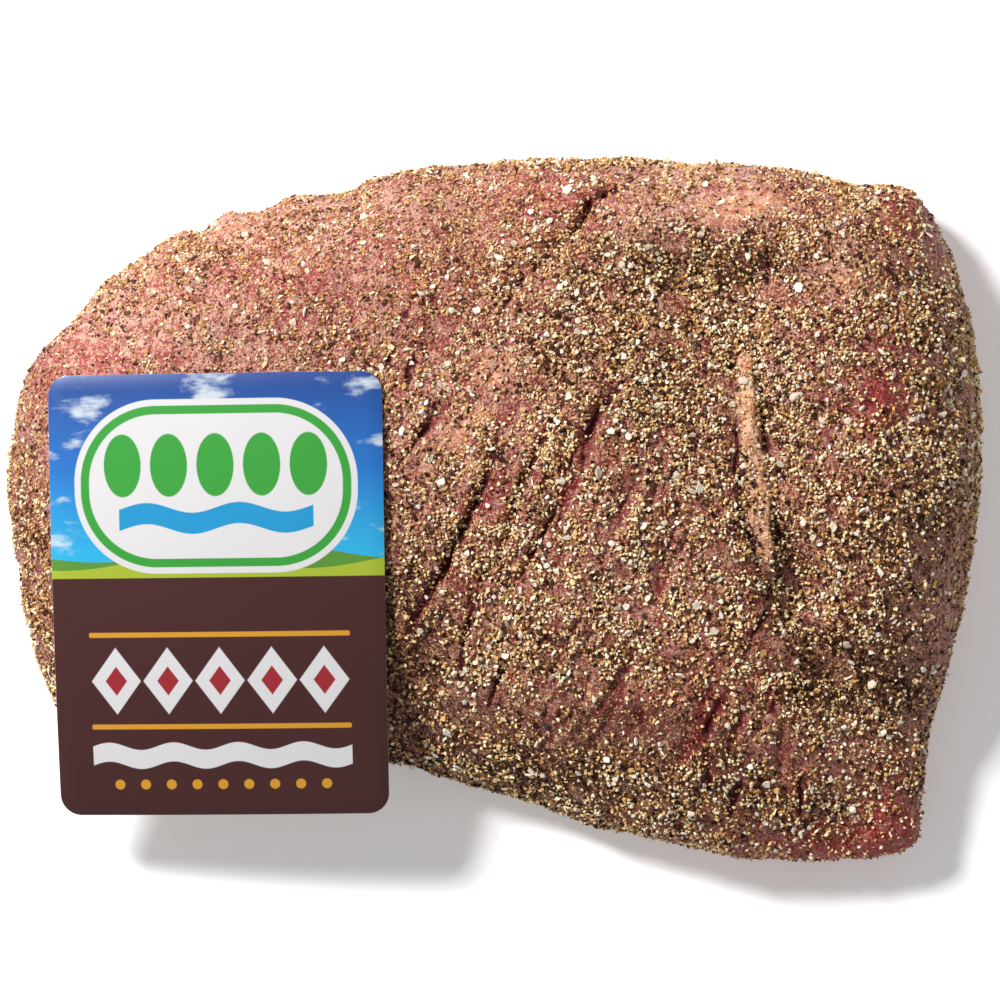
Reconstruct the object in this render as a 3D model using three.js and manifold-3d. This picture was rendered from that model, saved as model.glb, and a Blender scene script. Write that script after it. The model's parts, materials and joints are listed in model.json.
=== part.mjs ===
// A raw tri-tip roast, rubbed with coarse salt and cracked pepper, with its card label lying on it.
// Millimetres, +Z up. The roast rests on z = 0 on its flat side, +X runs along its length, and the
// origin is the middle of its footprint. The label lies over the thin left end.
import * as THREE from 'three';
import { mergeVertices } from 'three/addons/utils/BufferGeometryUtils.js';
import Module from 'manifold-3d';

const wasm = await Module();
wasm.setup();

// ---- Driving dimensions ----
const LENGTH = 234; // of the roast, along X
const WIDTH = 170; // of the roast, along Y
const BODY_HEIGHT = 36; // of the even part of the top, before its muscles swell
const TUCK = 8; // how far the side draws in below its widest line, to the flat rest
const TOP_RINGS = 27; // of points, from the middle of the top to the widest line, each six points larger
const SIDE_RINGS = 4; // from the widest line down to the flat rest

const LABEL_WIDTH = 79;
const LABEL_HEIGHT = 105;
const LABEL_THICKNESS = 0.5;
const LABEL_CORNER = 5;
const LABEL_AT = [-65.2, -20.2]; // its middle, seen from above
const LABEL_TURN = THREE.MathUtils.degToRad(0.75);
const LABEL_SLOPE_X = 0.09; // rise towards +X
const LABEL_SLOPE_Y = 0.17; // rise towards +Y
const LABEL_BEND_X = 400; // radii that the card bows to, over the roast's shoulder
const LABEL_BEND_Y = 300;
const LABEL_LIFT = 1.1; // over the meat, for the seasoning under it

// Height of the widest line on each side, how far in the top's rounding reaches, and how square that is.
const SIDES = {
  right: { belly: 13, reach: 34, fullness: 2.0 },
  back: { belly: 15, reach: 28, fullness: 2.0 },
  left: { belly: 11, reach: 30, fullness: 2.0 },
  front: { belly: 8, reach: 52, fullness: 1.7 },
};

// The outline from above, from the blunt left end along the front to the right and back.
const OUTLINE = [
  [-117, 4], [-113.3, -22], [-110, -36.5], [-106, -47.5], [-98.5, -55], [-89, -60], [-73, -61.5], [-54, -60.5],
  [-22.5, -60.5], [-14, -63.5], [8.5, -70.7], [22.5, -76], [35, -78.2], [48, -80.8], [60, -84], [71, -85],
  [86, -85], [96, -83.8], [101, -81.6], [102.8, -77.5], [102.8, -70], [104, -60], [105.6, -51], [108.8, -41.5],
  [111.8, -31.5], [113.6, -21], [114.6, -10], [116.5, 4.5], [117, 21], [115.6, 37], [111.6, 53.5],
  [109.8, 63.5], [103, 75], [95.5, 78.4], [88.5, 77.6], [73.5, 81.5], [59, 82.4], [40, 83.7], [23, 84.9],
  [14, 85], [1.5, 83.2], [-6.5, 82.8], [-20.5, 81.9], [-32.5, 77.9], [-42, 75.1], [-51.5, 72.2], [-61, 69.7],
  [-70, 67.4], [-77, 66.2], [-83.5, 62.5], [-92, 56.6], [-102.2, 46], [-110, 36.8], [-114, 27], [-116.3, 16],
];

// Swellings and hollows of the top: middle, reach along and across, turn in degrees, and rise.
const SWELLINGS = [
  { at: [26, 8], reach: [50, 46], turn: 0, rise: 12.5 }, // the thick middle
  { at: [90, 18], reach: [22, 48], turn: 0, rise: 5 }, // the muscle right of the seam
  { at: [-56, 36], reach: [50, 30], turn: 0, rise: 3.5 }, // the back left
  { at: [-72, -54], reach: [60, 42], turn: 0, rise: -9 }, // the front left, which falls away
  { at: [98, -76], reach: [38, 28], turn: 0, rise: -13 }, // the thin front corner
  { at: [42, 71], reach: [34, 9], turn: -16, rise: 5 }, // the roll along the back
  { at: [55, 57], reach: [27, 7], turn: -6, rise: -4.5 }, // the hollow in front of the roll
  { at: [44, 18], reach: [13, 32], turn: -6, rise: -2.5 }, // the dish left of the seam
  { at: [30, -40], reach: [40, 10], turn: -8, rise: -2 }, // the break before the front slope
];

// Broad folds, which sink into the skin without opening it.
const FOLDS = [
  { path: [[61.5, 52], [60.5, 39], [60.5, 26], [62.5, 9], [65.5, -9], [70.5, -24]], halfWidth: 5, depth: 3 },
  { path: [[72, -20], [77, -34], [85, -45], [96, -50]], halfWidth: 7, depth: 6 },
  { path: [[25, 75], [19, 66], [8, 56]], halfWidth: 4, depth: 2 },
];

// Splits between the muscle's bundles, which open the skin.
const SPLITS = [
  { path: [[33.5, 79], [30, 76], [23, 73.5], [20, 66.5], [13.5, 61]], width: 2.4, depth: 6 },
  { path: [[9.5, 57], [6, 54], [1, 45.5]], width: 2, depth: 3.5 },
  { path: [[-17.5, 53], [-21, 45]], width: 1.5, depth: 2.5 },
  { path: [[-21.5, 42], [-25.5, 33.5]], width: 1.5, depth: 2.5 },
  { path: [[-18.5, 37], [-21.5, 27]], width: 1.4, depth: 2.5 },
  { path: [[-14, 25.5], [-15.5, 20], [-23.5, 10]], width: 1.9, depth: 3 },
  { path: [[0.5, 17], [-2, 8], [-6, -1], [-11.5, -12.5], [-20.5, -29]], width: 2.8, depth: 4.5 },
  { path: [[17, 27], [10.5, 14.5], [5, 3.5], [3, -5.5], [-7, -23]], width: 2.4, depth: 4 },
  { path: [[31.5, 31.5], [24.5, 23.5], [21, 15.5], [20.5, 10]], width: 2, depth: 3.5 },
  { path: [[14, -0.5], [8.5, -10.5], [6.5, -17]], width: 1.8, depth: 3 },
  { path: [[-5, -22], [-8, -34.5], [-8, -39.5]], width: 1.8, depth: 3 },
  { path: [[4, -33], [0.5, -41], [-1.5, -46]], width: 1.6, depth: 3 },
  { path: [[52.5, -45], [50, -53], [50, -60.5], [51, -65]], width: 1.8, depth: 3 },
  { path: [[58, -64], [55.5, -73]], width: 1.8, depth: 2.5 },
  { path: [[72.5, -60.5], [73, -68], [73.5, -75]], width: 1.5, depth: 2.5 },
  { path: [[64.5, -23], [60.5, -29.5], [59, -34]], width: 1.4, depth: 2.5 },
];

const SPLIT_SPACING = 5; // between a split's sections
const SPLIT_CLEAR = 2.5; // how far the wedge that opens a split stands over the skin
const SPLIT_END = 0.12; // share of its width and depth that is left at a split's ends

// The strip of fat in the seam, and the splits that part it from the muscles beside it.
const FAT_STRIP = [[59.4, 38], [58.7, 31], [59.3, 24], [60.3, 16], [61.4, 7], [62.4, -1], [64, -10], [65.8, -19]];
const FAT_STRIP_WIDTH = 4.8;
const FAT_STRIP_CROWN = 0.6; // share of the width that its crown has
const FAT_STRIP_PROUD = 1.1; // of the skin
const FAT_STRIP_ROOT = 2.5; // depth of its root in the meat
const FAT_STRIP_END = 0.25; // share of its width and rise that is left at its ends
const FAT_STRIP_SPACING = 6; // between its sections
const SEAM_SPLITS = [
  { path: [[61.6, 39], [62, 30], [63.5, 17], [65.4, 8.5]], width: 1.8, depth: 5 },
  { path: [[65, 3.5], [66.2, -3], [67.9, -9], [69.8, -15]], width: 1.6, depth: 4.5 },
  { path: [[56.7, 20], [57.1, 10], [57.6, 2.5], [58.8, -4], [61.2, -11], [63, -17]], width: 1.6, depth: 4.5 },
];

// The largest salt flakes, spread by a low-discrepancy rule. They are fused to the meat.
const FLAKE_TRIES = 230;
const FLAKE_HALF = [1.7, 1.25, 0.75]; // half length, breadth and height of the largest
const FLAKE_EDGE_ROOM = 0.84; // share of the way to the outline that they reach
const FLAKE_SPLIT_ROOM = 2.6; // kept clear beside a split
const FLAKE_LABEL_ROOM = 2; // kept clear round the label
const FLAKE_LEAST = 0.44; // the smallest flake's size, as a share of the largest's
const FLAKE_LIFT = 0.1; // of a flake's middle over the skin
const RULE_STEP = [0.7548776662, 0.569840291]; // steps of the rule along X and Y, as shares
const GOLDEN_TURN = 2.399963;

// ---- The roast's form ----

const OUTLINE_STEPS = 900;
const corners = OUTLINE.map(([x, y]) => new THREE.Vector3(x, y, 0));
const outline = new THREE.CatmullRomCurve3(corners, true, 'catmullrom', 0.5).getPoints(OUTLINE_STEPS);
const outlineBox = new THREE.Box3().setFromPoints(outline);
const outlineMiddle = outlineBox.getCenter(new THREE.Vector3());
const outlineSize = outlineBox.getSize(new THREE.Vector3());
const outlineScale = new THREE.Vector3(LENGTH / outlineSize.x, WIDTH / outlineSize.y, 1);
const rim = outline
  .map((p) => p.clone().sub(outlineMiddle).multiply(outlineScale))
  .map((p) => ({ angle: Math.atan2(p.y, p.x), radius: Math.hypot(p.x, p.y) }))
  .sort((a, b) => a.angle - b.angle);

// Distance from the origin to the outline, in a direction seen from above.
function rimRadius(angle) {
  let low = 0;
  let high = rim.length - 1;
  if (angle <= rim[low].angle || angle >= rim[high].angle) return (rim[low].radius + rim[high].radius) / 2;
  while (high - low > 1) {
    const middle = (low + high) >> 1;
    if (rim[middle].angle <= angle) low = middle;
    else high = middle;
  }
  const share = (angle - rim[low].angle) / Math.max(rim[high].angle - rim[low].angle, 1e-9);
  return THREE.MathUtils.lerp(rim[low].radius, rim[high].radius, share);
}

// A value that differs from side to side, blended round the outline.
function bySide(angle, key) {
  const along = Math.cos(angle);
  const across = Math.sin(angle);
  const ends = SIDES[along > 0 ? 'right' : 'left'][key];
  const sides = SIDES[across > 0 ? 'back' : 'front'][key];
  return ends * along * along + sides * across * across;
}

function distanceToPath(x, y, path) {
  let nearest = Infinity;
  for (let i = 1; i < path.length; i++) {
    const [ax, ay] = path[i - 1];
    const [dx, dy] = [path[i][0] - ax, path[i][1] - ay];
    const share = THREE.MathUtils.clamp(((x - ax) * dx + (y - ay) * dy) / (dx * dx + dy * dy), 0, 1);
    nearest = Math.min(nearest, Math.hypot(x - ax - share * dx, y - ay - share * dy));
  }
  return nearest;
}

function swelling(x, y, { at, reach, turn, rise }) {
  const angle = THREE.MathUtils.degToRad(turn);
  const along = (x - at[0]) * Math.cos(angle) + (y - at[1]) * Math.sin(angle);
  const across = (y - at[1]) * Math.cos(angle) - (x - at[0]) * Math.sin(angle);
  return rise * Math.exp(-((along / reach[0]) ** 2) - (across / reach[1]) ** 2);
}

function foldDepth(x, y, { path, halfWidth, depth }) {
  return depth * Math.exp(-((distanceToPath(x, y, path) / halfWidth) ** 2));
}

// Height of the top over a point of the footprint.
function topHeight(x, y) {
  const angle = Math.atan2(y, x);
  const inside = Math.max(rimRadius(angle) - Math.hypot(x, y), 0);
  const steps = Math.min(inside / bySide(angle, 'reach'), 1);
  const shoulder = (1 - (1 - steps) ** 2) ** (1 / bySide(angle, 'fullness'));
  const swell = SWELLINGS.reduce((sum, s) => sum + swelling(x, y, s), 0);
  const sink = FOLDS.reduce((sum, f) => sum + foldDepth(x, y, f), 0);
  const belly = bySide(angle, 'belly');
  return belly + (BODY_HEIGHT + swell - sink - belly) * shoulder;
}

// ---- Solids ----

// A closed mesh as a manifold-3d solid.
function solid(geometry) {
  const bare = new THREE.BufferGeometry().setAttribute('position', geometry.getAttribute('position'));
  bare.setIndex(geometry.getIndex());
  const merged = mergeVertices(bare, 1e-4);
  const vertProperties = merged.getAttribute('position').array;
  const triVerts = new Uint32Array(merged.getIndex().array);
  return new wasm.Manifold(new wasm.Mesh({ numProp: 3, vertProperties, triVerts }));
}

function geometryOf(manifold) {
  const { vertProperties, triVerts } = manifold.getMesh();
  const geometry = new THREE.BufferGeometry();
  geometry.setAttribute('position', new THREE.BufferAttribute(vertProperties, 3));
  geometry.setIndex(new THREE.BufferAttribute(triVerts, 1));
  geometry.computeVertexNormals();
  return geometry;
}

// A ring of points round the middle, at the reach and height that place(angle) gives.
function ringPoints(count, place) {
  return Array.from({ length: count }, (_, i) => {
    const angle = (i / count) * 2 * Math.PI - Math.PI;
    const [reach, height] = place(angle);
    return [reach * Math.cos(angle), reach * Math.sin(angle), height];
  });
}

function onTop(share) {
  return (angle) => {
    const reach = rimRadius(angle) * share;
    return [reach, topHeight(reach * Math.cos(angle), reach * Math.sin(angle))];
  };
}

function onSide(turn) {
  const [drawnIn, heightShare] = [TUCK * (1 - Math.cos(turn)), 1 - Math.sin(turn)];
  return (angle) => [rimRadius(angle) - drawnIn, bySide(angle, 'belly') * heightShare];
}

// The plain body: rings of points over the top, down the side, and a flat rest.
function bareBody() {
  const points = ringPoints(1, onTop(0));
  const index = [];
  let inner = 0;
  for (let ring = 1; ring <= TOP_RINGS; ring++) {
    const outer = points.length;
    points.push(...ringPoints(6 * ring, onTop(Math.sin((ring / TOP_RINGS) * (Math.PI / 2)))));
    for (let i = 0; i < 6 * ring; i++) {
      const sixth = Math.floor(i / ring);
      const within = i % ring;
      const onOuter = outer + i;
      const nextOuter = outer + ((i + 1) % (6 * ring));
      const onInner = inner + (ring > 1 ? (i - sixth) % (6 * (ring - 1)) : 0);
      index.push(onOuter, nextOuter, onInner);
      if (within < ring - 1) index.push(onInner, nextOuter, inner + ((i - sixth + 1) % (6 * (ring - 1))));
    }
    inner = outer;
  }
  const around = 6 * TOP_RINGS;
  for (let ring = 1; ring <= SIDE_RINGS; ring++) {
    const lower = points.length;
    points.push(...ringPoints(around, onSide((ring / SIDE_RINGS) * (Math.PI / 2))));
    for (let i = 0; i < around; i++) {
      const next = (i + 1) % around;
      index.push(lower + i, lower + next, inner + next, lower + i, inner + next, inner + i);
    }
    inner = lower;
  }
  const rest = points.slice(inner).map(([x, y]) => new THREE.Vector2(x, y));
  for (const [a, b, c] of THREE.ShapeUtils.triangulateShape(rest, [])) {
    index.push(inner + a, inner + c, inner + b);
  }
  const geometry = new THREE.BufferGeometry();
  geometry.setAttribute('position', new THREE.Float32BufferAttribute(points.flat(), 3));
  geometry.setIndex(index);
  return solid(geometry);
}

// A bar that follows a path over the top. section(share) gives its corners as [offset to the left, height
// over the skin], clockwise when one looks back along the path.
function bar(path, spacing, section) {
  const curve = new THREE.CatmullRomCurve3(path.map(([x, y]) => new THREE.Vector3(x, y, 0)));
  const stations = Math.max(3, Math.round(curve.getLength() / spacing) + 1);
  const positions = [];
  const corners = section(0.5).length;
  for (let i = 0; i < stations; i++) {
    const share = i / (stations - 1);
    const at = curve.getPointAt(share);
    const ahead = curve.getTangentAt(share);
    for (const [offset, height] of section(share)) {
      const x = at.x - ahead.y * offset;
      const y = at.y + ahead.x * offset;
      positions.push(x, y, topHeight(at.x, at.y) + height);
    }
  }
  const index = [];
  for (let i = 0; i + 1 < stations; i++) {
    for (let c = 0; c < corners; c++) {
      const next = (c + 1) % corners;
      const [a, b] = [i * corners + c, i * corners + next];
      index.push(a, a + corners, b, b, a + corners, b + corners);
    }
  }
  const last = (stations - 1) * corners;
  for (let c = 1; c + 1 < corners; c++) {
    index.push(0, c, c + 1, last, last + c + 1, last + c);
  }
  const geometry = new THREE.BufferGeometry();
  geometry.setAttribute('position', new THREE.Float32BufferAttribute(positions, 3));
  geometry.setIndex(index);
  return solid(geometry);
}

// Falls from 1 in the middle of a path to the given share at both ends.
function taper(share, atEnds) {
  return atEnds + (1 - atEnds) * Math.sqrt(Math.sin(Math.PI * share));
}

// A wedge that opens the skin along a path and closes at both ends.
function split({ path, width, depth }) {
  return bar(path, SPLIT_SPACING, (share) => {
    const open = taper(share, SPLIT_END);
    const half = (width / 2) * open * ((depth + SPLIT_CLEAR) / depth);
    return [[0, -depth * open], [-half, SPLIT_CLEAR], [half, SPLIT_CLEAR]];
  });
}

function fatStrip() {
  return bar(FAT_STRIP, FAT_STRIP_SPACING, (share) => {
    const full = taper(share, FAT_STRIP_END);
    const half = (FAT_STRIP_WIDTH / 2) * full;
    const crown = half * FAT_STRIP_CROWN;
    const proud = FAT_STRIP_PROUD * full;
    return [[half, -FAT_STRIP_ROOT], [-half, -FAT_STRIP_ROOT], [-crown, proud], [crown, proud]];
  });
}

function underLabel(x, y, room) {
  const [across, along] = labelCoordinates(x, y);
  return Math.abs(across) < LABEL_WIDTH / 2 + room && Math.abs(along) < LABEL_HEIGHT / 2 + room;
}

// A low-faced crystal, half sunk in the top at a point.
function saltFlake(x, y, number) {
  const slopeX = topHeight(x + 1, y) - topHeight(x - 1, y);
  const slopeY = topHeight(x, y + 1) - topHeight(x, y - 1);
  const normal = new THREE.Vector3(-slopeX / 2, -slopeY / 2, 1).normalize();
  const size = THREE.MathUtils.lerp(FLAKE_LEAST, 1, 0.5 + 0.5 * Math.cos(number * GOLDEN_TURN));
  const flake = new THREE.IcosahedronGeometry(1, 0);
  flake.scale(FLAKE_HALF[0] * size, FLAKE_HALF[1] * size, FLAKE_HALF[2] * size);
  flake.rotateZ(number * GOLDEN_TURN);
  flake.applyQuaternion(new THREE.Quaternion().setFromUnitVectors(new THREE.Vector3(0, 0, 1), normal));
  flake.translate(x, y, topHeight(x, y) + FLAKE_LIFT);
  return solid(flake);
}

function saltFlakes() {
  const opened = [...SPLITS, ...SEAM_SPLITS].map((s) => s.path);
  const flakes = [];
  for (let number = 1; number <= FLAKE_TRIES; number++) {
    const x = ((0.5 + number * RULE_STEP[0]) % 1 - 0.5) * LENGTH;
    const y = ((0.5 + number * RULE_STEP[1]) % 1 - 0.5) * WIDTH;
    const share = Math.hypot(x, y) / rimRadius(Math.atan2(y, x));
    const besideSplit = opened.some((path) => distanceToPath(x, y, path) < FLAKE_SPLIT_ROOM);
    if (share > FLAKE_EDGE_ROOM || besideSplit || underLabel(x, y, FLAKE_LABEL_ROOM)) continue;
    flakes.push(saltFlake(x, y, number));
  }
  return flakes;
}

function roastGeometry() {
  let roast = bareBody().add(fatStrip());
  for (const opening of [...SPLITS, ...SEAM_SPLITS]) roast = roast.subtract(split(opening));
  for (const flake of saltFlakes()) roast = roast.add(flake);
  const largest = roast.decompose().sort((a, b) => b.volume() - a.volume())[0];
  return geometryOf(largest);
}

// ---- The label ----

// A point of the footprint in the label's own directions, across and up its print.
function labelCoordinates(x, y) {
  const [dx, dy] = [x - LABEL_AT[0], y - LABEL_AT[1]];
  const [c, s] = [Math.cos(LABEL_TURN), Math.sin(LABEL_TURN)];
  return [dx * c + dy * s, dy * c - dx * s];
}

// Height of the label's underside, but for its lift. It slopes with the meat and bows over it.
function labelForm(across, along) {
  const bow = across ** 2 / (2 * LABEL_BEND_X) + along ** 2 / (2 * LABEL_BEND_Y);
  return LABEL_SLOPE_X * across + LABEL_SLOPE_Y * along - bow;
}

// The lift that lays the label on the highest points under it.
function labelLift() {
  let lift = -Infinity;
  for (let x = -LENGTH / 2; x < 0; x += 1) {
    for (let y = -WIDTH / 2; y < WIDTH / 2; y += 1) {
      const inside = Math.hypot(x, y) < rimRadius(Math.atan2(y, x));
      if (!inside || !underLabel(x, y, 0)) continue;
      lift = Math.max(lift, topHeight(x, y) - labelForm(...labelCoordinates(x, y)));
    }
  }
  return lift + LABEL_LIFT;
}

// Spreads a box's even grid so that three of its steps at each end fall in the rounded corner.
function gridStep(share, steps, length) {
  const step = Math.round((share + 0.5) * steps);
  const cornerSteps = 3;
  const nearEnd = Math.min(step, steps - step);
  const fromEnd = nearEnd < cornerSteps
    ? (nearEnd / cornerSteps) * LABEL_CORNER
    : LABEL_CORNER + ((nearEnd - cornerSteps) / (steps - 2 * cornerSteps)) * (length - 2 * LABEL_CORNER);
  return step * 2 <= steps ? fromEnd - length / 2 : length / 2 - fromEnd;
}

// Draws a corner of the card in to its rounding.
function roundCorner(across, along) {
  const overX = Math.max(Math.abs(across) - (LABEL_WIDTH / 2 - LABEL_CORNER), 0);
  const overY = Math.max(Math.abs(along) - (LABEL_HEIGHT / 2 - LABEL_CORNER), 0);
  if (overX === 0 || overY === 0) return [across, along];
  const draw = Math.max(overX, overY) / Math.hypot(overX, overY);
  return [across - Math.sign(across) * overX * (1 - draw), along - Math.sign(along) * overY * (1 - draw)];
}

function labelGeometry() {
  const stepsAcross = 14;
  const stepsAlong = 18;
  const card = new THREE.BoxGeometry(1, 1, 1, stepsAcross, stepsAlong, 1);
  const positions = card.getAttribute('position');
  const lift = labelLift();
  for (let i = 0; i < positions.count; i++) {
    const [across, along] = roundCorner(
      gridStep(positions.getX(i), stepsAcross, LABEL_WIDTH),
      gridStep(positions.getY(i), stepsAlong, LABEL_HEIGHT),
    );
    const x = LABEL_AT[0] + across * Math.cos(LABEL_TURN) - along * Math.sin(LABEL_TURN);
    const y = LABEL_AT[1] + across * Math.sin(LABEL_TURN) + along * Math.cos(LABEL_TURN);
    positions.setXYZ(i, x, y, lift + labelForm(across, along) + (positions.getZ(i) + 0.5) * LABEL_THICKNESS);
  }
  return geometryOf(solid(card));
}

// ---- The object ----

const meat = new THREE.MeshStandardMaterial({ color: 0x8f6450, roughness: 0.6, metalness: 0 });
const print = new THREE.MeshStandardMaterial({ color: 0x50303a, roughness: 0.35, metalness: 0 });

const roast = new THREE.Mesh(roastGeometry(), meat);
roast.name = 'roast';

const label = new THREE.Mesh(labelGeometry(), print);
label.name = 'label';

const triTip = new THREE.Group();
triTip.add(roast, label);

// The origin is the middle of the roast's own box.
const roastBox = new THREE.Box3().setFromObject(roast);
const middle = roastBox.getCenter(new THREE.Vector3());
triTip.position.set(-middle.x, -middle.y, 0);

export default triTip;
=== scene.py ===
"""A raw tri-tip roast rubbed with coarse salt and cracked pepper, with its card label lying on it.

Blender's lengths are metres. Places and sizes on the roast are given in millimetres, from the middle of its
footprint, with +X along the roast, +Y towards its back, and are brought to metres by MM.
"""
import json
import math

import bpy
import numpy as np
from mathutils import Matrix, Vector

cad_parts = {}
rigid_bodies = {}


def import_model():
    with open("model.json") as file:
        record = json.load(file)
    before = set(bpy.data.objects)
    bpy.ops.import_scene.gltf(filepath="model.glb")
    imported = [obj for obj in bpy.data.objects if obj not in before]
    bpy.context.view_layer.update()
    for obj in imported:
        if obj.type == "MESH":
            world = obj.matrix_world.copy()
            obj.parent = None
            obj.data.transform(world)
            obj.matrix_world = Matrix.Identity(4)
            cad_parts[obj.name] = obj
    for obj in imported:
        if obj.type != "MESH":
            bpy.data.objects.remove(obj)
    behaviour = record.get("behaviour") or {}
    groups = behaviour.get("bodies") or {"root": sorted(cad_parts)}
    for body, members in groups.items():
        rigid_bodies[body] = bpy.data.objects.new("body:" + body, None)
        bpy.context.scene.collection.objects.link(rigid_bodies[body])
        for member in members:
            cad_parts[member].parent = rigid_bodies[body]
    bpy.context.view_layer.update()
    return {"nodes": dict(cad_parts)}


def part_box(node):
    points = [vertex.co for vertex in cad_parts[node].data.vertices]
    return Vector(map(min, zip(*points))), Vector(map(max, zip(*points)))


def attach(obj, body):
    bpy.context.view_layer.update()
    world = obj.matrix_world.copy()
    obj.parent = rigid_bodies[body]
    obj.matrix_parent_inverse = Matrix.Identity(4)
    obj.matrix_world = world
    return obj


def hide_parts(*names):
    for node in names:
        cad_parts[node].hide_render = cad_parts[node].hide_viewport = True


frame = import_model()

MM = 0.001

# ---- View, light and floor ----

CAMERA_AT = (1.3 * MM, 2.5 * MM, 1.0)
LENS = 147.1  # on Blender's 36 mm sensor
NEAREST_SEEN = 0.01
KEY_AT = (-0.88, 0.78, 1.08)
KEY_SIZE = 0.32
KEY_WATTS = 35.0
SKY = 0.3
FLOOR_SIZE = 8.0
# Painted light: the floor glows though it is no lamp, which keeps the shadows on it pale and lights the
# roast a little from below.
FLOOR_PAINTED_GLOW = 0.22  # which keeps the shadows on the floor pale


def make_view():
    """A camera straight above, one lamp from the back left that faces the roast, and an even sky."""
    bpy.ops.object.camera_add(location=CAMERA_AT, rotation=(0, 0, 0))
    camera = bpy.context.object
    camera.data.lens = LENS
    camera.data.clip_start = NEAREST_SEEN
    bpy.context.scene.camera = camera
    bpy.ops.object.light_add(type="AREA", location=KEY_AT)
    key = bpy.context.object
    key.name = "key"
    key.data.size = KEY_SIZE
    key.data.energy = KEY_WATTS
    key.rotation_euler = (-key.location).to_track_quat("-Z", "Y").to_euler()
    world = bpy.data.worlds.new("soft_room")
    world.use_nodes = True
    world.node_tree.nodes["Background"].inputs["Color"].default_value = (1.0, 1.0, 1.0, 1.0)
    world.node_tree.nodes["Background"].inputs["Strength"].default_value = SKY
    bpy.context.scene.world = world
    bpy.context.scene.view_settings.view_transform = "Standard"


# ---- Materials in Python ----

MIX_FACTOR, MIX_A, MIX_B, MIX_RESULT = 0, 6, 7, 2  # the Mix node's sockets for colours


class Wire:
    """One output of a material's nodes. Python's operators on it add Math nodes."""

    def __init__(self, finish, socket):
        self.finish = finish
        self.socket = socket

    def math(self, operation, *terms):
        return self.finish.node("ShaderNodeMath", {"operation": operation}, [self, *terms])

    def __add__(self, other):
        return self.math("ADD", other)

    __radd__ = __add__

    def __sub__(self, other):
        return self.math("SUBTRACT", other)

    def __rsub__(self, other):
        return self.finish.node("ShaderNodeMath", {"operation": "SUBTRACT"}, [other, self])

    def __mul__(self, other):
        return self.math("MULTIPLY", other)

    __rmul__ = __mul__

    def __truediv__(self, other):
        return self.math("DIVIDE", other)

    def __pow__(self, other):
        return self.math("POWER", other)

    def size(self):
        """The value without its sign."""
        return self.math("ABSOLUTE")

    def at_least(self, other):
        return self.math("MAXIMUM", other)

    def at_most(self, other):
        return self.math("MINIMUM", other)

    def ease(self, low, high):
        """0 below low and 1 above high, smooth between them."""
        settings = {"interpolation_type": "SMOOTHSTEP"}
        sockets = {"Value": self, "From Min": low, "From Max": high}
        return self.finish.node("ShaderNodeMapRange", settings, sockets)


class Finish:
    """A material with a Principled shader, whose other nodes are added in Python."""

    def __init__(self, name, **constants):
        self.material = bpy.data.materials.new(name)
        self.material.use_nodes = True
        self.tree = self.material.node_tree
        self.shader = self.tree.nodes["Principled BSDF"]
        for socket, value in constants.items():
            self.shader.inputs[socket.replace("_", " ")].default_value = value

    def node(self, kind, settings=None, sockets=None, output=0):
        """Adds a node: its settings first, then the value or link of each socket, by name or in order."""
        node = self.tree.nodes.new(kind)
        for name, value in (settings or {}).items():
            if name == "stops":
                self.set_stops(node.color_ramp, value)
            else:
                setattr(node, name, value)
        pairs = sockets.items() if isinstance(sockets, dict) else enumerate(sockets or [])
        for key, value in pairs:
            if isinstance(value, Wire):
                self.tree.links.new(value.socket, node.inputs[key])
            else:
                node.inputs[key].default_value = value
        return Wire(self, node.outputs[output])

    @staticmethod
    def set_stops(ramp, stops):
        while len(ramp.elements) < len(stops):
            ramp.elements.new(0.5)
        for element, (place, colour) in zip(ramp.elements, stops):
            element.position = place
            element.color = colour

    def attribute(self, name):
        return self.node("ShaderNodeAttribute", {"attribute_name": name}, output="Fac")

    def place(self):
        """Object coordinates, in metres."""
        return self.node("ShaderNodeTexCoord", output="Object")

    def stretched(self, place, turn, scale):
        """Object coordinates turned about Z and scaled, for a pattern with a direction."""
        sockets = {"Vector": place, "Rotation": (0.0, 0.0, turn), "Scale": scale}
        return self.node("ShaderNodeMapping", {"vector_type": "POINT"}, sockets)

    def noise(self, place, grain, detail=2.0, roughness=0.5):
        """Soft noise from 0 to 1, whose lumps are about grain metres across."""
        sockets = {"Vector": place, "Scale": 1.0 / grain, "Detail": detail, "Roughness": roughness}
        return self.node("ShaderNodeTexNoise", None, sockets)

    def cells(self, place, grain, output="Distance"):
        """Cells about grain metres across: the distance from their middles, or a random colour for each."""
        sockets = {"Vector": place, "Scale": 1.0 / grain}
        return self.node("ShaderNodeTexVoronoi", None, sockets, output)

    def blend(self, factor, a, b):
        """Colour a where the factor is 0 and b where it is 1."""
        settings = {"data_type": "RGBA", "clamp_factor": True}
        sockets = {MIX_FACTOR: factor, MIX_A: a, MIX_B: b}
        return self.node("ShaderNodeMix", settings, sockets, MIX_RESULT)

    def shade(self, colour, factor):
        """A colour made lighter or darker by a factor."""
        settings = {"operation": "SCALE"}
        return self.node("ShaderNodeVectorMath", settings, {"Vector": colour, "Scale": factor})

    def ramp(self, factor, stops):
        """A colour between stops, each a place from 0 to 1 and the colour there."""
        return self.node("ShaderNodeValToRGB", {"stops": stops}, [factor])

    def bump(self, height, depth, strength):
        """A normal from a height of 0 to 1 that stands for a depth in metres."""
        sockets = {"Height": height, "Distance": depth, "Strength": strength}
        return self.node("ShaderNodeBump", None, sockets)

    def set(self, **sockets):
        """Links wires to the shader's sockets, whose names have _ for a space."""
        for name, wire in sockets.items():
            self.tree.links.new(wire.socket, self.shader.inputs[name.replace("_", " ")])


def colour(red, green, blue):
    """A screen colour from 0 to 255, as Blender's linear colour."""
    linear = [c / 255 / 12.92 if c <= 10 else ((c / 255 + 0.055) / 1.055) ** 2.4 for c in (red, green, blue)]
    return (*linear, 1.0)


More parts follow.
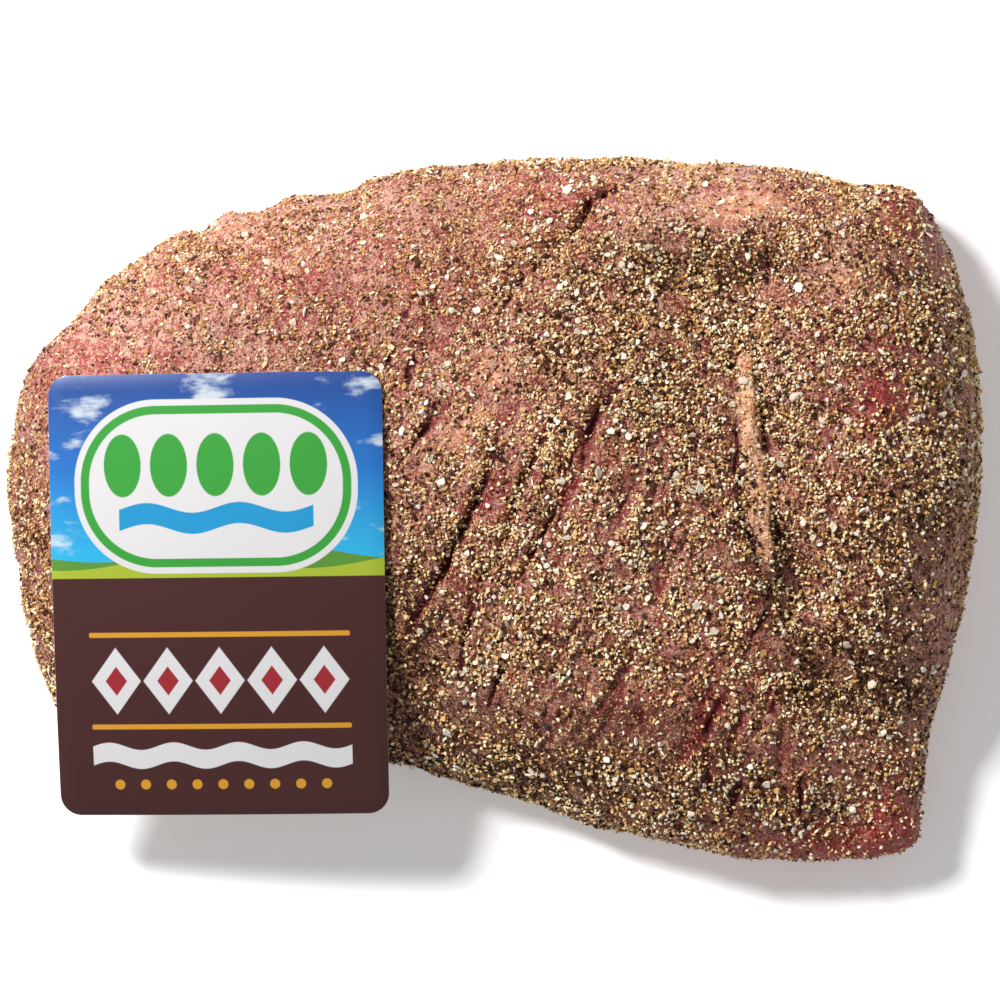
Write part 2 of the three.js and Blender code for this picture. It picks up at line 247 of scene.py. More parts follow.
# ---- Making pieces ----

SAME_PLACE = 1e-6  # metres, at most, between corners that are one


def deselect_all():
    bpy.ops.object.select_all(action="DESELECT")


def make_active(piece):
    deselect_all()
    piece.select_set(True)
    bpy.context.view_layer.objects.active = piece


def apply_modifier(piece, kind, **settings):
    make_active(piece)
    modifier = piece.modifiers.new(kind.lower(), kind)
    for name, value in settings.items():
        setattr(modifier, name, value)
    bpy.ops.object.modifier_apply(modifier=modifier.name)


def copy_node(node, name):
    """A CAD node's mesh as a new piece, with its loose triangles joined."""
    mesh = frame["nodes"][node].data.copy()
    mesh.name = name
    piece = bpy.data.objects.new(name, mesh)
    bpy.context.scene.collection.objects.link(piece)
    make_active(piece)
    bpy.ops.object.mode_set(mode="EDIT")
    bpy.ops.mesh.select_all(action="SELECT")
    bpy.ops.mesh.customdata_custom_splitnormals_clear()
    bpy.ops.mesh.remove_doubles(threshold=SAME_PLACE)
    bpy.ops.object.mode_set(mode="OBJECT")
    return piece


def read_points(mesh, field="co"):
    """The corners of a mesh, or with field "normal" its normals there, as rows of three."""
    values = np.empty(len(mesh.vertices) * 3)
    mesh.vertices.foreach_get(field, values)
    return values.reshape(-1, 3)


def write_points(mesh, points):
    mesh.vertices.foreach_set("co", points.ravel())
    mesh.update()


def write_attribute(mesh, name, values):
    attribute = mesh.attributes.new(name, "FLOAT", "POINT")
    attribute.data.foreach_set("value", np.asarray(values, dtype=np.float32))


def hand_over(piece, finish, slot, *nodes):
    """Gives a piece its material and its body, and the CAD nodes that it stands for. The slot is not used.
    """
    piece.data.materials.clear()
    piece.data.materials.append(finish.material)
    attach(piece, "root")
    if nodes:
        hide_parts(*nodes)


# ---- Fields over the roast ----

RIPPLE_WAVES = 14
RIPPLE_LENGTHS = (1.4, 3.2)  # of a lump's width, between which the waves' lengths lie


def ease(values, low, high):
    """0 below low and 1 above high, smooth between them."""
    share = np.clip((values - low) / (high - low), 0.0, 1.0)
    return share * share * (3.0 - 2.0 * share)


def blobs(x, y, spots):
    """Soft round spots, each [x, y, reach along X, reach along Y, weight], added up."""
    total = np.zeros_like(x)
    for at_x, at_y, reach_x, reach_y, weight in spots:
        total += weight * np.exp(-(((x - at_x) / reach_x) ** 2) - ((y - at_y) / reach_y) ** 2)
    return total


def distance_to(x, y, path):
    """Distance from points to a path, and how far along it the nearest place is, from 0 to 1."""
    nearest = np.full(x.shape, np.inf)
    along = np.zeros_like(x)
    steps = np.hypot(*np.diff(np.array(path), axis=0).T)
    length = steps.sum()
    walked = 0.0
    for (ax, ay), (bx, by), step in zip(path, path[1:], steps):
        share = np.clip(((x - ax) * (bx - ax) + (y - ay) * (by - ay)) / step**2, 0.0, 1.0)
        distance = np.hypot(x - ax - share * (bx - ax), y - ay - share * (by - ay))
        closer = distance < nearest
        nearest = np.where(closer, distance, nearest)
        along = np.where(closer, (walked + share * step) / length, along)
        walked += step
    return nearest, along


def ripple(points, grain, seed):
    """Smooth random relief from about -1 to 1, whose lumps are about grain across."""
    draw = np.random.default_rng(seed)
    total = np.zeros(len(points))
    for _ in range(RIPPLE_WAVES):
        direction = draw.normal(size=3)
        wave_length = grain * draw.uniform(*RIPPLE_LENGTHS)
        direction *= 2.0 * math.pi / wave_length / np.linalg.norm(direction)
        total += np.sin(points @ direction + draw.uniform(0.0, 2.0 * math.pi))
    return total / math.sqrt(RIPPLE_WAVES)


# The splits between the muscle's bundles: path, width and depth.
SPLITS = [
    ([(33.5, 79), (30, 76), (23, 73.5), (20, 66.5), (13.5, 61)], 2.4, 6.0),
    ([(9.5, 57), (6, 54), (1, 45.5)], 2.0, 3.5),
    ([(-17.5, 53), (-21, 45)], 1.5, 2.5),
    ([(-21.5, 42), (-25.5, 33.5)], 1.5, 2.5),
    ([(-18.5, 37), (-21.5, 27)], 1.4, 2.5),
    ([(-14, 25.5), (-15.5, 20), (-23.5, 10)], 1.9, 3.0),
    ([(0.5, 17), (-2, 8), (-6, -1), (-11.5, -12.5), (-20.5, -29)], 2.8, 4.5),
    ([(17, 27), (10.5, 14.5), (5, 3.5), (3, -5.5), (-7, -23)], 2.4, 4.0),
    ([(31.5, 31.5), (24.5, 23.5), (21, 15.5), (20.5, 10)], 2.0, 3.5),
    ([(14, -0.5), (8.5, -10.5), (6.5, -17)], 1.8, 3.0),
    ([(-5, -22), (-8, -34.5), (-8, -39.5)], 1.8, 3.0),
    ([(4, -33), (0.5, -41), (-1.5, -46)], 1.6, 3.0),
    ([(52.5, -45), (50, -53), (50, -60.5), (51, -65)], 1.8, 3.0),
    ([(58, -64), (55.5, -73)], 1.8, 2.5),
    ([(72.5, -60.5), (73, -68), (73.5, -75)], 1.5, 2.5),
    ([(64.5, -23), (60.5, -29.5), (59, -34)], 1.4, 2.5),
    ([(61.6, 39), (62, 30), (63.5, 17), (65.4, 8.5)], 1.8, 5.0),
    ([(65, 3.5), (66.2, -3), (67.9, -9), (69.8, -15)], 1.6, 4.5),
    ([(56.7, 20), (57.1, 10), (57.6, 2.5), (58.8, -4), (61.2, -11), (63, -17)], 1.6, 4.5),
    ([(16.5, -45), (14.5, -50)], 1.2, 1.6),
    ([(35, -45.5), (34, -51.5)], 1.2, 1.6),
    ([(54, -33), (51.5, -35.5), (50, -39.5)], 1.2, 1.6),
    ([(67.5, -42), (65, -48)], 1.2, 1.6),
    ([(88.5, 20.5), (90, 17)], 1.2, 1.4),
]
SPLIT_SHARE = 0.38  # of a split's width, the half width of its dark opening
SPLIT_TIPS = 0.3  # of that width, what is left at the ends
RAGGED = 0.45  # how far a split's edge wanders
RAGGED_GRAIN = 3.0
FRINGE = 2.6  # how far redder meat reaches beside a split

FAT_STRIP = [(59.4, 38), (58.7, 31), (59.3, 24), (60.3, 16), (61.4, 7), (62.4, -1), (64, -10), (65.8, -19)]
STRIP_HALF = 2.5  # half its width at its middle, and half of that at its ends
STRIP_RAGGED = 0.5
STRIP_RAGGED_GRAIN = 3.6
STRIP_EDGE = (0.75, 1.15)  # of its half width, between which it fades
STRIP_STARTS = (0.0, 0.04)  # of its length
STRIP_ENDS = (0.8, 1.0)

FIBRE_TURN = math.radians(63)  # direction of the bundles in the middle
FIBRE_TURNS_ON = math.radians(22)  # how much steeper they stand to the right
FIBRE_TURNS_AT = (20.0, 70.0)  # between which places along X

LINE_WANDER = 0.8
LINE_HALF = 0.44  # of a wave's height, where a line's dark fades
LINE_SQUEEZE = (4.0, 0.45)  # of the waves between the bundles, across and along them
WAVE_GRAIN = 15.0  # before the waves are squeezed

# Where fine dark lines part the bundles.
LINED_SPOTS = [
    [0, 2, 34, 44, 1.0],
    [38, -14, 26, 36, 0.9],
    [52, -56, 32, 20, 0.8],
    [-30, 54, 26, 18, 0.35],
    [84, 20, 16, 30, 0.4],
]

# The thin purple skin that shows round the right side.
VEIL_SPOTS = [
    [114, 8, 9, 62, 1.0],
    [106, 64, 8, 12, 0.8],
    [107, -42, 8, 20, 0.8],
    [101, -62, 5, 14, 0.7],
]

FAT_SPOTS = [
    [-0.5, 33, 6, 6, 1.0],
    [-3.5, 22, 2.8, 2.8, 0.9],
    [-9.5, 17.5, 4.5, 4, 1.0],
    [-15.5, 11.5, 3.5, 3.5, 0.9],
    [-5, 10, 3, 3, 0.8],
    [-12, 30, 3.5, 5, 0.6],
    [35, 66, 6, 5, 0.75],
    [54.5, 71, 8, 5, 0.9],
    [65, 73, 6, 4, 0.7],
    [83, 56, 7, 8, 0.8],
    [48, 82, 9, 3, 0.8],
    [-62, 68, 5, 4, 0.7],
    [-84, 58, 6, 4, 0.5],
    [109, 58, 5, 12, 0.5],
    # The broad, faint spot at (36, -4) lightens a wide area in the middle of the roast.
    [36, -4, 20, 18, 0.42],
    [64, -54, 24, 10, 0.2],
]

# Redder lean that the rub leaves bare, by strength.
LEAN_SPOTS = [
    [90, 26, 10, 9, 1.0],
    [104, 66, 8, 14, 0.7],
    [84, 44, 6, 6, 0.6],
    [72, 76, 10, 5, 0.6],
    [96, 72, 9, 7, 0.9],
    [12, 74, 12, 8, 0.7],
    [-45, 52, 14, 9, 0.5],
    [-95, 30, 14, 10, 0.6],
    [84, -84, 36, 8, 1.3],
    [98, -74, 9, 14, 1.0],
    [24, -74, 24, 4, 0.7],
    [15, 5, 26, 30, 0.3],
    [-18, 48, 10, 12, 0.4],
    [52, -30, 16, 12, 0.4],
    [40, -44, 20, 5, 0.45],
    [60, -64, 34, 14, 0.4],
    [-112, -5, 8, 40, 0.5],
    [82, 2, 8, 12, 0.5],
]

# Darker brown to purple meat: partly its own colour, and partly painted shade where the skin turns down away
# from the lamp, in the folds and in the hollow under the top roll, with the card's painted shadow beside its
# right edge.
DARK_AND_SHADE_SPOTS = [
    [84, -42, 26, 9, 0.25],
    [98, -50, 14, 12, 0.2],
    # Along the front slope: browner meat, darkened further as painted shade where it turns from the lamp.
    [14, -52, 34, 11, 0.8],
    [32, -52, 24, 8, 0.5],
    [44, -54, 26, 8, 0.6],
    # The card's painted shadow beside its right edge.
    [-20, -36, 10, 34, 1.3],
    [-112, -10, 12, 48, 0.7],
    [106, 0, 7, 50, 0.1],
    [95, -10, 18, 26, 0.3],
    [60, -20, 10, 16, 0.3],
    [26, -66, 34, 10, 0.5],
    [102, -55, 8, 22, 0.4],
    [44, 30, 20, 22, 0.25],
    # Painted shade in the hollow under the top roll.
    [46, 55, 18, 5, 0.6],
]

# How much of the skin the rub covers, as changes to its mean.
RUB_MEAN = 0.8
RUB_SPOTS = [
    [6, 2, 20, 28, 0.14],
    [30, -51, 26, 6, -0.3],
    [95, -76, 8, 5, -0.4],
    [100, -20, 8, 24, -0.15],
    [30, 36, 26, 20, 0.24],
    [42, -2, 20, 24, 0.2],
    # Fewer pale grains beside the card's right edge, which darkens it there as part of the card's painted
    # shadow.
    [-20, -36, 8, 30, -0.25],
    [78, 0, 14, 40, 0.16],
    [92, 48, 16, 14, 0.1],
    [52, -62, 46, 12, 0.12],
    [-78, 34, 36, 26, -0.34],
    [-112, 0, 16, 50, -0.15],
    [-40, 58, 26, 14, -0.16],
    [-60, 74, 36, 7, -0.3],
    [-106, 38, 12, 16, -0.25],
    [30, 76, 60, 9, -0.12],
    [10, -48, 32, 8, -0.36],
    [42, -53, 24, 6, -0.35],
    [34, -22, 28, 14, -0.12],
    [50, 74, 26, 6, -0.12],
    [84, -83, 32, 5, -0.42],
    [70, -66, 34, 14, -0.12],
    [88, -56, 9, 8, -0.25],
    [109, -30, 8, 26, -0.45],
    [90, 26, 9, 8, -0.5],
    [105, 66, 7, 12, -0.25],
    [114, 34, 5, 40, -0.1],
]
RUB_LEAST = 0.12

# Where dark husks gather in the rub, in the folds and hollows. Through the dark field and the grains'
# dimming they also paint shade there, and the card's shadow beside its right edge.
HUSK_AND_SHADE_SPOTS = [
    [20, 35, 15, 8, 0.6],
    [45, 56, 22, 6, 0.6],
    [1, 6, 8, 8, 0.5],
    [66, 30, 3, 14, 0.5],
    [56, 10, 3, 22, 0.4],
    [67, 2, 3, 14, 0.5],
    [69, -11, 5, 11, 0.8],
    [76, -32, 7, 8, 0.9],
    [90, -37, 11, 5, 0.9],
    [101, -10, 8, 13, 0.7],
    [98, -44, 8, 7, 0.6],
    # The card's painted shadow: husks, darker meat and dimmer grains beside its right edge.
    [-22, -40, 8, 28, 1.0],
    [12, -62, 26, 7, 0.7],
    [66, -72, 16, 6, 0.5],
    [86, 62, 12, 8, 0.4],
]

# Where the rub has sunk into the moist surface, towards the back and the left.
SUNK_SPOTS = [
    [-78, 34, 42, 36, 1.0],
    [-28, 60, 42, 24, 0.9],
    [34, 76, 60, 12, 0.9],
    [86, 56, 14, 12, 0.7],
    [-112, 0, 16, 50, 0.5],
    [-8, 22, 12, 16, 0.6],
]


def along_fibres(x, y):
    """Places across and along the muscle's bundles."""
    turn = FIBRE_TURN + FIBRE_TURNS_ON * ease(x, *FIBRE_TURNS_AT)
    return x * np.sin(turn) - y * np.cos(turn), x * np.cos(turn) + y * np.sin(turn)


def raggedness(x, y):
    """How far a split's edge wanders at each point."""
    return RAGGED * ripple(np.c_[x, y, x * 0.0], RAGGED_GRAIN, seed=31)


def bundle_lines(x, y):
    """The fine dark lines between the bundles, from 0 to 1."""
    across, along = along_fibres(x, y)
    flat = np.zeros_like(x)
    wander = LINE_WANDER * ripple(np.c_[across, along, flat], 11.0, seed=41)
    squeezed = np.c_[(across + wander) * LINE_SQUEEZE[0], along * LINE_SQUEEZE[1], flat]
    waves = ripple(squeezed, WAVE_GRAIN, seed=42)
    broken = ease(ripple(np.c_[across, along * 0.5, flat], 7.0, seed=43), -0.4, 0.5)
    where = np.clip(blobs(x, y, LINED_SPOTS), 0.0, 1.0)
    return np.exp(-((waves / LINE_HALF) ** 2)) * broken * where


def strip_share(x, y):
    """1 on the strip of fat, whose edges wander, and 0 beside it."""
    distance, along = distance_to(x, y, FAT_STRIP)
    half = STRIP_HALF * (0.5 + 0.5 * np.sin(math.pi * along))
    distance = distance + STRIP_RAGGED * ripple(np.c_[x, y, x * 0.0], STRIP_RAGGED_GRAIN, seed=33)
    inside = 1.0 - ease(distance, half * STRIP_EDGE[0], half * STRIP_EDGE[1])
    return inside * ease(along, *STRIP_STARTS) * (1.0 - ease(along, *STRIP_ENDS))


def fields(x, y):
    """The fields that colour the meat and spread its rub, each from 0 to 1, over points of the footprint."""
    slit, fringe = np.zeros_like(x), np.zeros_like(x)
    ragged = raggedness(x, y)
    for path, width, _ in SPLITS:
        distance, along = distance_to(x, y, path)
        opening = SPLIT_TIPS + (1.0 - SPLIT_TIPS) * np.sqrt(np.sin(math.pi * along))
        half = width * SPLIT_SHARE * opening
        slit = np.maximum(slit, np.exp(-(((distance + ragged) / half) ** 2)))
        fringe = np.maximum(fringe, opening * np.exp(-((distance / FRINGE) ** 2)))
    line = bundle_lines(x, y)
    strip = strip_share(x, y)
    fat = np.clip(blobs(x, y, FAT_SPOTS), 0.0, 1.0)
    lean = np.clip(blobs(x, y, LEAN_SPOTS) + 0.35 * fringe * (1.0 - fat) + 0.3 * line, 0.0, 1.0)
    husks = np.clip(blobs(x, y, HUSK_AND_SHADE_SPOTS), 0.0, 1.0)
    # The dark field: the meat's own browner colour, with painted shade in the folds and on slopes that turn
    # from the lamp, and the card's painted shadow; the husk field darkens it too.
    dark = np.clip(blobs(x, y, DARK_AND_SHADE_SPOTS) + 0.4 * husks, 0.0, 1.0)
    veil = np.clip(blobs(x, y, VEIL_SPOTS), 0.0, 1.0)
    rub = RUB_MEAN + blobs(x, y, RUB_SPOTS) - 0.5 * fat - 0.22 * lean - 0.1 * veil
    rub = np.clip(rub, RUB_LEAST, 1.0) * (1.0 - 0.45 * slit) * (1.0 - 0.72 * line) * (1.0 - 0.6 * strip)
    sunk = np.clip(blobs(x, y, SUNK_SPOTS), 0.0, 1.0)
    return dict(
        slit=slit, line=line, strip=strip, fat=fat, lean=lean, dark=dark, veil=veil,
        rub=rub, husks=husks, sunk=sunk,
    )


# ---- The meat ----

MEAT_VOXEL = 0.92
SMOOTHINGS = 6
LIFTED = 0.12  # the gap from the floor to the skin's underside, which keeps their faces apart
LIFT_ENDS = 6.0  # height over which the skin is no longer lifted
UNDERSIDE = 0.6  # height up to which the skin's faces belong to the flat underside
UNDERSIDE_FACES = -0.995  # how straight down they look

RELIEF_HEIGHTS = (1.0, 7.0)  # over the floor, between which the relief grows
RELIEF_FACING = (-0.5, 0.1)  # and how far up the skin looks there
COLOUR_HEIGHTS = (0.5, 3.0)  # over the floor, between which the fields' colours grow
MEAT_FIELDS = ("slit", "line", "strip", "fat", "lean", "dark", "veil", "rub")

BUNDLE_SPOTS = [
    [6, 4, 38, 46, 1.0],
    [50, -50, 30, 30, 0.5],
]
BUNDLE_SQUEEZE = (4.0, 0.5)  # of the bundles' waves, across and along them
BUNDLE_HEIGHT = 0.34
LINE_DEPTH = 1.0
SPLIT_DEEPENED = 0.18  # of a split's depth, which opens again what smoothing closed
LIP_HEIGHT = 0.4  # of the swollen rim along a split
LIP_AT = 1.2  # of the split's width, from its middle
LIP_REACH = 0.7
STRIP_HEIGHT = 0.7
STRIP_LUMPS = 0.3

# Lumps of meat that stand out along the back rim.
LUMPS = [
    [-75.5, 66.5, 3, 3, 0.8],
    [-64, 70, 4, 4, 2.8],
    [-48.5, 74.5, 5, 4, 2.4],
    [-92, 54, 4, 4, 0.9],
    [-30, 79, 4, 3, 0.8],
]

POWDER_GRAIN = 0.45
POWDER_TONES = [
    (0.0, colour(56, 28, 20)),
    (0.4, colour(96, 50, 34)),
    (0.6, colour(190, 134, 90)),
    (1.0, colour(230, 194, 146)),
]


def relief(points, x, y, z):
    """How far each point of the smooth skin moves out."""
    across, along = along_fibres(x, y)
    squeezed = np.c_[across * BUNDLE_SQUEEZE[0], along * BUNDLE_SQUEEZE[1], z]
    bundles = ripple(squeezed, WAVE_GRAIN, seed=3)
    where = np.clip(blobs(x, y, BUNDLE_SPOTS), 0.0, 1.0)
    lines = LINE_DEPTH * bundle_lines(x, y)
    out = 0.55 * ripple(points, 15.0, seed=1) + 0.26 * ripple(points, 5.0, seed=2)
    out += 0.1 * ripple(points, 2.4, seed=4) + BUNDLE_HEIGHT * bundles * where - lines
    ragged = raggedness(x, y)
    for path, width, depth in SPLITS:
        distance, along_split = distance_to(x, y, path)
        opening = np.sqrt(np.sin(math.pi * along_split))
        groove = np.exp(-(((distance + ragged) / (width * SPLIT_SHARE)) ** 2))
        lip = np.exp(-(((distance - width * LIP_AT) / (width * LIP_REACH)) ** 2))
        out -= SPLIT_DEEPENED * depth * opening * groove
        out += LIP_HEIGHT * opening * lip
    suet = STRIP_HEIGHT + STRIP_LUMPS * ripple(points, 2.6, seed=6)
    out += strip_share(x, y) * suet + blobs(x, y, LUMPS)
    return out


def flatten_underside(meat):
    """Joins the even faces of the flat underside into one."""
    make_active(meat)
    mesh = meat.data
    under = [p.normal.z < UNDERSIDE_FACES and p.center.z < UNDERSIDE * MM for p in mesh.polygons]
    mesh.polygons.foreach_set("select", np.array(under))
    mesh.update()
    bpy.ops.object.mode_set(mode="EDIT")
    bpy.ops.mesh.select_mode(type="FACE")
    bpy.ops.mesh.select_less()
    bpy.ops.mesh.select_less()
    bpy.ops.mesh.dissolve_faces()
    bpy.ops.mesh.quads_convert_to_tris(quad_method="BEAUTY", ngon_method="BEAUTY")
    bpy.ops.object.mode_set(mode="OBJECT")


def make_meat():
    """The roast's skin: the frame's node with even, fine faces, its relief and its fields of colour."""
    meat = copy_node("roast", "raw_meat")
    apply_modifier(meat, "REMESH", mode="VOXEL", voxel_size=MEAT_VOXEL * MM, use_smooth_shade=True)
    apply_modifier(meat, "SMOOTH", factor=0.5, iterations=SMOOTHINGS)
    points = read_points(meat.data) / MM
    normals = read_points(meat.data, "normal")
    x, y, z = points.T
    free = ease(z, *RELIEF_HEIGHTS) * ease(normals[:, 2], *RELIEF_FACING)
    points += normals * (free * relief(points, x, y, z))[:, None]
    points[:, 2] = np.maximum(points[:, 2], 0.0) + LIFTED * (1.0 - ease(z, 0.0, LIFT_ENDS))
    write_points(meat.data, points * MM)
    flatten_underside(meat)
    points = read_points(meat.data) / MM
    over = fields(points[:, 0], points[:, 1])
    shown = ease(points[:, 2], *COLOUR_HEIGHTS)
    for name in MEAT_FIELDS:
        write_attribute(meat.data, name, over[name] * shown)
    make_active(meat)
    bpy.ops.object.shade_smooth()
    return meat


def bare_meat(finish, place):
    """The colour of the moist meat, its fat, its purple skin and the strip of suet, without the rub."""
    rub, lean, dark, veil = (finish.attribute(name) for name in ("rub", "lean", "dark", "veil"))
    fat, strip, line = (finish.attribute(name) for name in ("fat", "strip", "line"))
    broad = finish.noise(place, 16 * MM, detail=3.0)
    mottled = finish.noise(place, 2.2 * MM, detail=4.0, roughness=0.7)
    pale_mottles = (mottled - 0.5).ease(0.0, 0.12) * (0.8 - lean * 0.55)
    red_mottles = (0.5 - mottled).ease(0.0, 0.12) * (0.65 - fat * 0.4)
    tone = finish.blend(broad.ease(0.35, 0.65), colour(190, 130, 118), colour(174, 94, 90))
    tone = finish.blend(lean * 0.9, tone, colour(158, 30, 40))
    tone = finish.blend((fat + (broad - 0.5) * 0.6).ease(0.25, 0.75), tone, colour(200, 134, 102))
    tone = finish.blend(pale_mottles, tone, colour(226, 182, 162))
    tone = finish.blend(red_mottles, tone, colour(156, 50, 50))
    # Darker red meat where the rub is thick: partly juice-soaked meat, partly painted shade between the
    # grains.
    tone = finish.blend(rub.ease(0.42, 0.9) * 0.85, tone, colour(130, 44, 40))
    # Darker brown meat along the dark field: partly its own colour, partly painted shade and the card's
    # painted shadow.
    tone = finish.blend(dark * 0.85, tone, colour(90, 43, 33))
    threads = finish.noise(finish.stretched(place, 0.0, (1.0, 0.12, 0.5)), 1.1 * MM, detail=3.0)
    skin = finish.blend(threads.ease(0.42, 0.66), colour(136, 66, 64), colour(194, 136, 122))
    tone = finish.blend(veil * 0.85, tone, skin)
    tone = finish.blend(line * 0.9, tone, colour(112, 22, 27))
    suet = finish.blend(mottled.ease(0.4, 0.6), colour(208, 136, 100), colour(238, 192, 156))
    return finish.blend(strip, tone, suet)


def powdered_meat(finish, place, tone):
    """A colour under specks of the rub's powder, and the specks' height."""
    rub, lean, dark = (finish.attribute(name) for name in ("rub", "lean", "dark"))
    cell = finish.cells(place, POWDER_GRAIN * MM, output="Color")
    first = finish.node("ShaderNodeSeparateColor", None, [cell], output="Red")
    second = finish.node("ShaderNodeSeparateColor", None, [cell], output="Green")
    dome = 1.0 - finish.cells(place, POWDER_GRAIN * MM).at_most(1.0)
    # Fewer pale specks where the dark field lies, which is partly painted shade, and on lean.
    pale_specks = first.ease(0.7, 0.8) * (0.4 - (dark + lean) * 0.25)
    powdered = ((1.0 - first) - (1.0 - rub * 0.45 - dark * 0.3)).ease(0.0, 0.08)
    tone = finish.blend(pale_specks, tone, colour(240, 206, 180))
    return finish.blend(powdered * 0.8, tone, finish.ramp(second, POWDER_TONES)), dome


def meat_finish():
    """Moist raw meat: pink to brown lean, orange fat, dark red splits whose darkness is partly painted
    shade, and the powder of the rub.
    """
    finish = Finish(
        "moist_raw_meat", Subsurface_Weight=0.1, Subsurface_Scale=1.2 * MM, Specular_IOR_Level=0.18
    )
    finish.shader.inputs["Subsurface Radius"].default_value = (1.0, 0.32, 0.2)
    place = finish.place()
    fine = finish.noise(place, 1.3 * MM, detail=3.0, roughness=0.65)
    fibre = finish.noise(finish.stretched(place, -FIBRE_TURN, (0.12, 1.0, 1.0)), 1.0 * MM, detail=3.0)
    tone, dome = powdered_meat(finish, place, bare_meat(finish, place))
    # The splits' own dark red, darkened further as painted shade in their depths.
    tone = finish.blend(finish.attribute("slit").ease(0.15, 0.7), tone, colour(74, 14, 18))
    tone = finish.shade(tone, 0.35 + fine * 0.75 + fibre * 0.3 + dome * 0.2)
    height = fine * 0.7 + fibre * 0.3 + dome * 0.2
    finish.set(Base_Color=tone, Roughness=0.38 + fine * 0.2, Normal=finish.bump(height, 0.8 * MM, 1.0))
    return finish


# ---- The rub ----

SEED = 11
MOST_FACES = 198000  # of one piece
RUB_TRIES = 230000  # places tried for coarse grains
GRIT_TRIES = 45000  # and for the dust between them
GRAIN_ROOM = 0.74  # of two grains' mean width, the least distance between their middles
RUB_HEIGHTS = (0.6, 2.1)  # over the floor, between which the rub begins
RUB_FACING = (-0.95, -0.2)  # and how far up the skin looks there
RUB_UNDER_CARD = 13.0  # how far under the card's edge the rub goes
CARD_ROOM = 0.2  # between a grain and the card's underside
LOWEST = 0.02  # of a grain's corners, over the floor

CREAM, GOLD, HUSK, SALT = range(4)
SALT_SHARE = 0.012
CREAM_SHARE = 0.57  # of the grains that aren't husks
HUSK_SHARE = 0.19
PEPPER_WIDTHS = (14.0, 0.057)  # shape and scale of their gamma distribution
SALT_WIDTHS = (8.0, 0.145)
WIDTH_LIMITS = (0.5, 2.2)
GRIT_WIDTHS = (0.28, 0.62)
UNEVEN = (0.75, 1.2)  # of a grain's width, its three sizes
SLENDER_SHARE = 0.4  # of the grains, which are longer than wide
SLENDER_LEAST = 1.1  # how much longer, at least
THICKNESS = {CREAM: 0.8, GOLD: 0.8, HUSK: 0.42, SALT: 0.4}  # of a grain's width
SLENDER_MOST = {CREAM: 1.8, GOLD: 1.8, HUSK: 1.8, SALT: 1.3}
RISE = {CREAM: 0.3, GOLD: 0.3, HUSK: 0.2, SALT: 0.2}  # of a grain's width, its middle over the skin
HEAPED = 0.3  # how much farther it may lie where the rub is thick
SINKS = 0.7  # of its rise, where the surface is moist
TURNED_ANY_WAY = (CREAM, GOLD)  # the other kinds lie flat, but for a tilt
TILT = 0.45

# Tones of the grains, from the darkest to the palest.
CREAM_TONES = [(0.0, colour(216, 182, 128)), (0.4, colour(242, 218, 168)), (1.0, colour(255, 246, 218))]
GOLD_TONES = [(0.0, colour(126, 80, 47)), (0.35, colour(203, 156, 96)), (1.0, colour(239, 200, 142))]
HUSK_TONES = [
    (0.0, colour(31, 14, 9)),
    (0.5, colour(58, 33, 22)),
    (0.85, colour(90, 62, 42)),
    (1.0, colour(124, 96, 70)),
]
DUST_TONES = [
    (0.0, colour(40, 19, 12)),
    (0.35, colour(84, 46, 28)),
    (0.6, colour(178, 132, 84)),
    (1.0, colour(224, 186, 134)),
]
SALT_TONES = [(0.0, colour(206, 184, 160)), (0.5, colour(234, 218, 196)), (1.0, colour(252, 244, 228))]
SOAKED_TONE = colour(176, 108, 88)


def shapes(kind, count, jitter, seed, **settings):
    """Corners and triangles of a few low-faced chunks, each one unit long, wide and high."""
    all_corners = []
    for number in range(count):
        deselect_all()
        getattr(bpy.ops.mesh, f"primitive_{kind}_add")(**settings)
        chunk = bpy.context.object
        bpy.ops.object.mode_set(mode="EDIT")
        bpy.ops.transform.vertex_random(offset=jitter, uniform=0.0, normal=0.0, seed=seed + number)
        bpy.ops.mesh.quads_convert_to_tris(quad_method="BEAUTY", ngon_method="BEAUTY")
        bpy.ops.mesh.normals_make_consistent(inside=False)
        bpy.ops.object.mode_set(mode="OBJECT")
        corners = read_points(chunk.data)
        corners -= (corners.max(axis=0) + corners.min(axis=0)) / 2
        corners /= corners.max(axis=0) - corners.min(axis=0)
        triangles = np.array([p.vertices[:] for p in chunk.data.polygons])
        all_corners.append((corners, triangles))
        bpy.data.objects.remove(chunk)
    return all_corners


def sample_skin(meat, count, weight_of, draw):
    """Random points on the meat with their normals, denser where the weight is larger."""
    mesh = meat.data
    mesh.calc_loop_triangles()
    triangles = np.empty(len(mesh.loop_triangles) * 3, dtype=np.int32)
    mesh.loop_triangles.foreach_get("vertices", triangles)
    triangles = triangles.reshape(-1, 3)
    points = read_points(mesh) / MM
    normals = read_points(mesh, "normal")
    corners = points[triangles]
    face_normals = np.cross(corners[:, 1] - corners[:, 0], corners[:, 2] - corners[:, 0])
    areas = np.linalg.norm(face_normals, axis=1) / 2
    middles = corners.mean(axis=1)
    weights = areas * weight_of(middles, face_normals[:, 2] / np.maximum(areas * 2, 1e-12))
    chosen = draw.choice(len(triangles), size=count, p=weights / weights.sum())
    u, v = draw.random(count), draw.random(count)
    folded = u + v > 1
    u[folded], v[folded] = 1 - u[folded], 1 - v[folded]
    shares = np.c_[1 - u - v, u, v][:, :, None]
    at = (corners[chosen] * shares).sum(axis=1)
    facing = (normals[triangles[chosen]] * shares).sum(axis=1)
    return at, facing / np.linalg.norm(facing, axis=1, keepdims=True)


